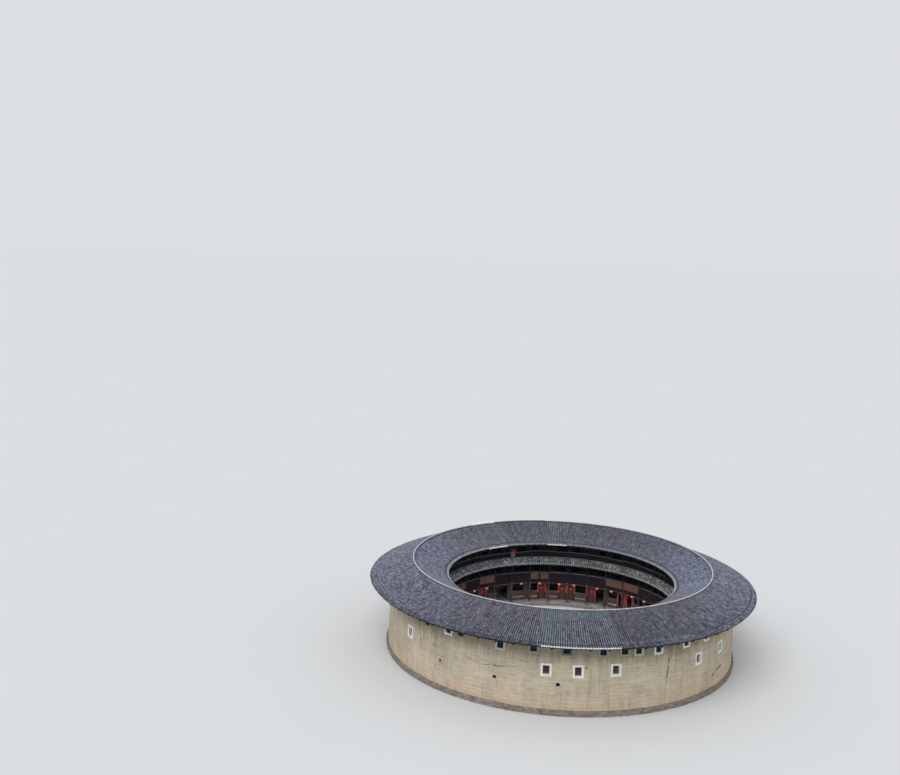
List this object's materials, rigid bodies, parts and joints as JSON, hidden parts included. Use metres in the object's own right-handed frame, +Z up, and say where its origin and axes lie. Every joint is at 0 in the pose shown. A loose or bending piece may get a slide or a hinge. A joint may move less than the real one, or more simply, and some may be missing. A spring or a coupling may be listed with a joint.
{
  "type": "1:2 scale model of a three-storey tulou roundhouse",
  "caption": "Round rammed-earth dwelling with a tiled ring roof, timber galleries and courtyard doors that open, at half of real size.",
  "frame": {"origin": "centre of the courtyard, on the ground, under the middle of the model's box", "axes": "+Z up; +Y from the courtyard's centre to its far side as the picture sees it; +X to the picture's right"},
  "size_m": [22.5, 22.5, 5.215],
  "materials": {
    "earth": "rammed earth, rough and weathered, with lift lines and streaks",
    "rubble": "rounded field stones in mud mortar",
    "granite": "dressed granite, worn",
    "paving": "worn grey flags",
    "timber": "old unpainted fir, dark with smoke",
    "boards": "unpainted boards, dark brown",
    "leaf": "plank door, worn brown",
    "tile": "unglazed grey clay tile, weathered",
    "mossy_tile": "unglazed clay tile under moss and lichen",
    "mortar": "weathered lime mortar",
    "whitewash": "chalky lime wash",
    "red_paper": "plain red paper strips, faded",
    "lantern": "red cloth lantern"
  },
  "bodies": {
    "building": {"stone_footing": "rubble", "earth_wall_1": "earth", "earth_wall_2": "earth", "earth_wall_3": "earth", "earth_wall_4": "earth", "earth_wall_5": "earth", "earth_wall_6": "earth", "earth_wall_7": "earth", "earth_wall_8": "earth", "earth_wall_9": "earth", "earth_wall_10": "earth", "earth_wall_11": "earth", "upper_wall_1": "earth", "upper_wall_2": "earth", "upper_wall_3": "earth", "upper_wall_4": "earth", "upper_wall_5": "earth", "upper_wall_6": "earth", "upper_wall_7": "earth", "upper_wall_8": "earth", "upper_wall_9": "earth", "gate_frame": "granite", "gate_leaf_left": "leaf", "gate_leaf_right": "leaf", "ground_floor": "paving", "floor_2": "boards", "floor_3": "boards", "front_wall_1": "boards", "front_wall_2": "boards", "front_wall_3": "boards", "front_wall_4": "boards", "front_wall_5": "boards", "front_wall_6": "boards", "front_wall_7": "boards", "front_wall_8": "boards", "front_wall_9": "boards", "front_wall_10": "boards", "front_wall_11": "boards", "wall_over_doors": "boards", "rooms_2_east": "boards", "rooms_2_west": "boards", "rooms_3_east": "boards", "rooms_3_west": "boards", "gallery_frame_1": "timber", "gallery_frame_2": "timber", "gallery_frame_3": "timber", "gallery_frame_4": "timber", "gallery_frame_5": "timber", "gallery_frame_6": "timber", "skirt_roof": "mossy_tile", "outer_roof_east": "tile", "outer_roof_west": "tile", "inner_roof_east": "tile", "inner_roof_west": "tile", "ridge": "mortar"},
    "door_leaf_1_body": {"door_leaf_1": "leaf"},
    "door_leaf_2_body": {"door_leaf_2": "leaf"},
    "door_leaf_3_body": {"door_leaf_3": "leaf"},
    "door_leaf_4_body": {"door_leaf_4": "leaf"},
    "door_leaf_5_body": {"door_leaf_5": "leaf"}
  },
  "joints": [
    {"name": "door_hinge_1", "type": "hinge", "parent": "building", "child": "door_leaf_1_body", "pos_m": [-4.57597, 6.47654, 0.6], "axis": [0, 0, 1], "range_deg": [0, 95]},
    {"name": "door_hinge_2", "type": "hinge", "parent": "building", "child": "door_leaf_2_body", "pos_m": [-0.23331, 7.93982, 0.6], "axis": [0, 0, -1], "range_deg": [0, 95]},
    {"name": "door_hinge_3", "type": "hinge", "parent": "building", "child": "door_leaf_3_body", "pos_m": [1.16267, 7.85851, 0.6], "axis": [0, 0, -1], "range_deg": [0, 95]},
    {"name": "door_hinge_4", "type": "hinge", "parent": "building", "child": "door_leaf_4_body", "pos_m": [1.40898, 7.83214, 0.6], "axis": [0, 0, 1], "range_deg": [0, 95]},
    {"name": "door_hinge_5", "type": "hinge", "parent": "building", "child": "door_leaf_5_body", "pos_m": [2.72261, 7.48014, 0.6], "axis": [0, 0, 1], "range_deg": [0, 95]}
  ]
}
